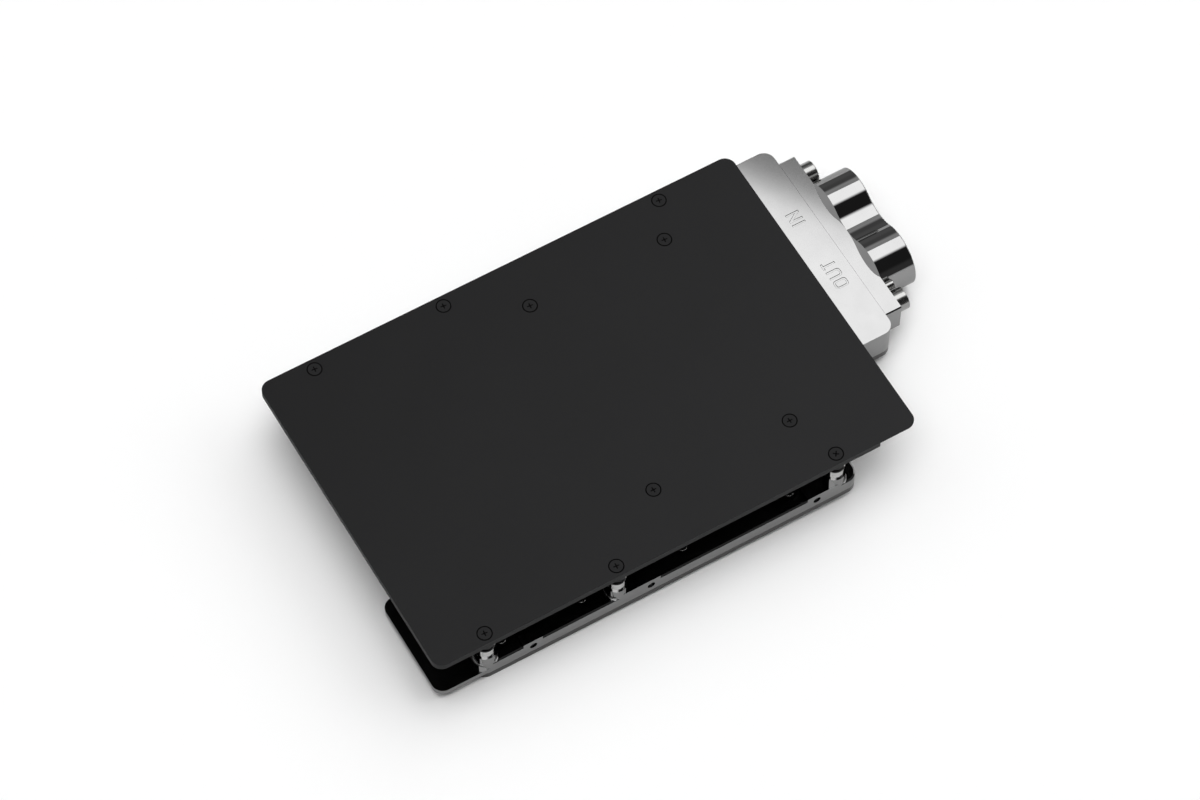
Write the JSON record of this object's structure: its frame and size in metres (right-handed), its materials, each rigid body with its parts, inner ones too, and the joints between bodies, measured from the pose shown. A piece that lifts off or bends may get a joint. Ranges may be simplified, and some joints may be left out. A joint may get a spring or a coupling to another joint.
{
  "type": "graphics card water block",
  "caption": "Full-cover water block for a graphics card: black backplate on standoffs above a nickel-plated cooler body, with a manifold of threaded coolant ports at one end.",
  "frame": {"origin": "centre of the face that touches the graphics chip", "axes": "+Z out of the chip face towards the circuit board and the backplate, +X along the card towards the ports, +Y across the card from its front edge to its rear edge"},
  "size_m": [0.1971, 0.1099, 0.0249],
  "materials": {
    "black_anodised_aluminium": "fine bead-blasted, black anodised",
    "nickel_plated_copper": "bright nickel plating over milled copper",
    "nickel_plated_brass": "bright nickel plating over turned brass",
    "stainless_steel": "fine brushed",
    "black_steel_screw": "black oxide, satin",
    "polished_steel": "ground and polished",
    "seal_rubber": "matt",
    "acetal": "machined, matt"
  },
  "bodies": {
    "root": {"backplate": "black_anodised_aluminium", "front_edge_screws": "black_steel_screw", "rear_edge_screws": "black_steel_screw", "chip_screws": "black_steel_screw", "front_edge_standoffs": "nickel_plated_brass", "rear_edge_standoffs": "nickel_plated_brass", "chip_standoffs": "nickel_plated_brass", "cooler_body": "nickel_plated_copper", "flow_guide": "acetal", "cover": "stainless_steel", "cover_seal": "seal_rubber", "cover_screws": "polished_steel", "port_manifold": "nickel_plated_brass", "port_seal_in": "seal_rubber", "port_seal_out": "seal_rubber", "manifold_screws": "polished_steel", "manifold_dowel": "polished_steel"}
  },
  "joints": []
}
